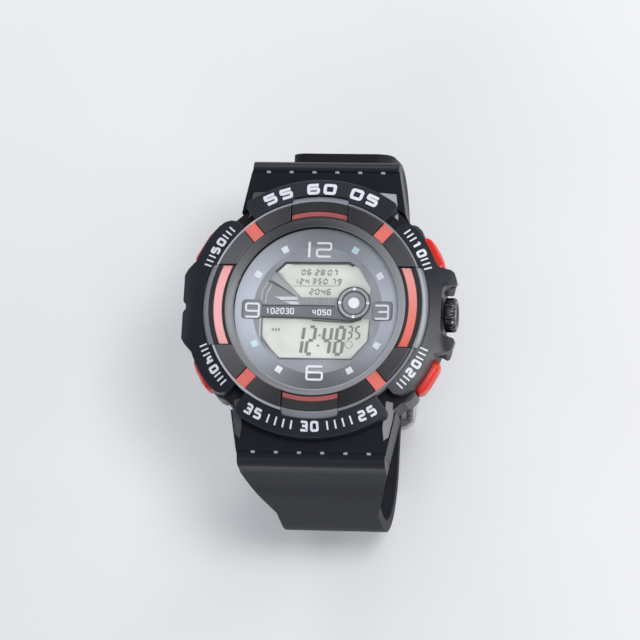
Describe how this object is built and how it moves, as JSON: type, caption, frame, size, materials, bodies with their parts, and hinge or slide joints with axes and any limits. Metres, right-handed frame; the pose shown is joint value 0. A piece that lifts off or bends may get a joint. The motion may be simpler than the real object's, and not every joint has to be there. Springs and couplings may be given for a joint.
{
  "type": "digital wristwatch",
  "caption": "Digital sports watch with a round bezel, red side pushers and a buckled resin strap.",
  "frame": {"origin": "centre of the case back's outer face, where the watch touches the wrist", "axes": "+Z out through the crystal, +Y towards 12 o'clock, +X towards 3 o'clock and the crown"},
  "size_m": [0.0526, 0.0744, 0.0583],
  "materials": {
    "black_resin": "moulded resin, satin",
    "navy_resin": "moulded resin, near-black navy, satin",
    "gloss_black": "moulded, semi-gloss",
    "red_gloss": "moulded, glossy",
    "crystal": "clear mineral crystal",
    "dial_grey": "printed metallic grey",
    "dial_trim": "moulded trim, glossy",
    "lcd": "reflective liquid crystal display",
    "light_guide": "clear moulded",
    "rubber": "elastomer",
    "module_plastic": "moulded",
    "board": "green laminate",
    "chip": "black epoxy",
    "steel": "plain steel",
    "brass": "thin brass",
    "steel_back": "brushed stainless steel",
    "strap_resin": "polyurethane resin, satin",
    "buckle_steel": "brushed steel"
  },
  "bodies": {
    "root": {"case_body": "black_resin", "bezel_shell": "navy_resin", "bezel_ring": "gloss_black", "red_inlays": "red_gloss", "crystal": "crystal", "dial_plate": "dial_grey", "subdial_ring": "dial_trim", "lcd_glass": "lcd", "backlight_panel": "light_guide", "backlight_led": "light_guide", "zebra_strips": "rubber", "module_frame": "module_plastic", "circuit_board": "board", "chip": "chip", "quartz_crystal": "steel", "smd_parts": "chip", "battery": "steel", "battery_holder": "module_plastic", "battery_clip": "steel", "buzzer_disc": "brass", "back_gasket": "rubber", "case_back": "steel_back", "strap_upper": "strap_resin", "strap_lower": "strap_resin", "strap_pin_upper": "steel", "strap_pin_lower": "steel", "buckle_pin": "steel", "buckle_frame": "buckle_steel", "buckle_prong": "buckle_steel", "start_leaf_spring": "steel", "light_leaf_spring": "steel", "mode_leaf_spring": "steel", "reset_leaf_spring": "steel"},
    "crown": {"crown": "gloss_black", "crown_stem": "steel"},
    "keeper": {"keeper_loop": "strap_resin"},
    "start_pusher": {"start_cap": "red_gloss", "start_stem": "steel", "start_clip": "steel"},
    "light_pusher": {"light_cap": "red_gloss", "light_stem": "steel", "light_clip": "steel"},
    "mode_pusher": {"mode_cap": "red_gloss", "mode_stem": "steel", "mode_clip": "steel"},
    "reset_pusher": {"reset_cap": "red_gloss", "reset_stem": "steel", "reset_clip": "steel"}
  },
  "joints": [
    {"name": "start_press", "type": "slide", "parent": "root", "child": "start_pusher", "axis": [-0.8704, -0.4924, 0], "range_m": [0, 0.001], "stiffness_N_per_m": 1500, "springref_m": -0.0005, "deforming": ["start_leaf_spring"]},
    {"name": "light_press", "type": "slide", "parent": "root", "child": "light_pusher", "axis": [0.8704, -0.4924, 0], "range_m": [0, 0.001], "stiffness_N_per_m": 1500, "springref_m": -0.0005, "deforming": ["light_leaf_spring"]},
    {"name": "mode_press", "type": "slide", "parent": "root", "child": "mode_pusher", "axis": [0.8704, 0.4924, 0], "range_m": [0, 0.001], "stiffness_N_per_m": 1500, "springref_m": -0.0005, "deforming": ["mode_leaf_spring"]},
    {"name": "reset_press", "type": "slide", "parent": "root", "child": "reset_pusher", "axis": [-0.8704, 0.4924, 0], "range_m": [0, 0.001], "stiffness_N_per_m": 1500, "springref_m": -0.0005, "deforming": ["reset_leaf_spring"]},
    {"name": "crown_turn", "type": "hinge", "parent": "root", "child": "crown", "pos_m": [0.0255, 0, 0.0084], "axis": [1, 0, 0], "continuous": true},
    {"name": "keeper_slide", "type": "slide", "parent": "root", "child": "keeper", "axis": [0, 1, 0], "range_m": [-0.0025, 0.0025]}
  ]
}
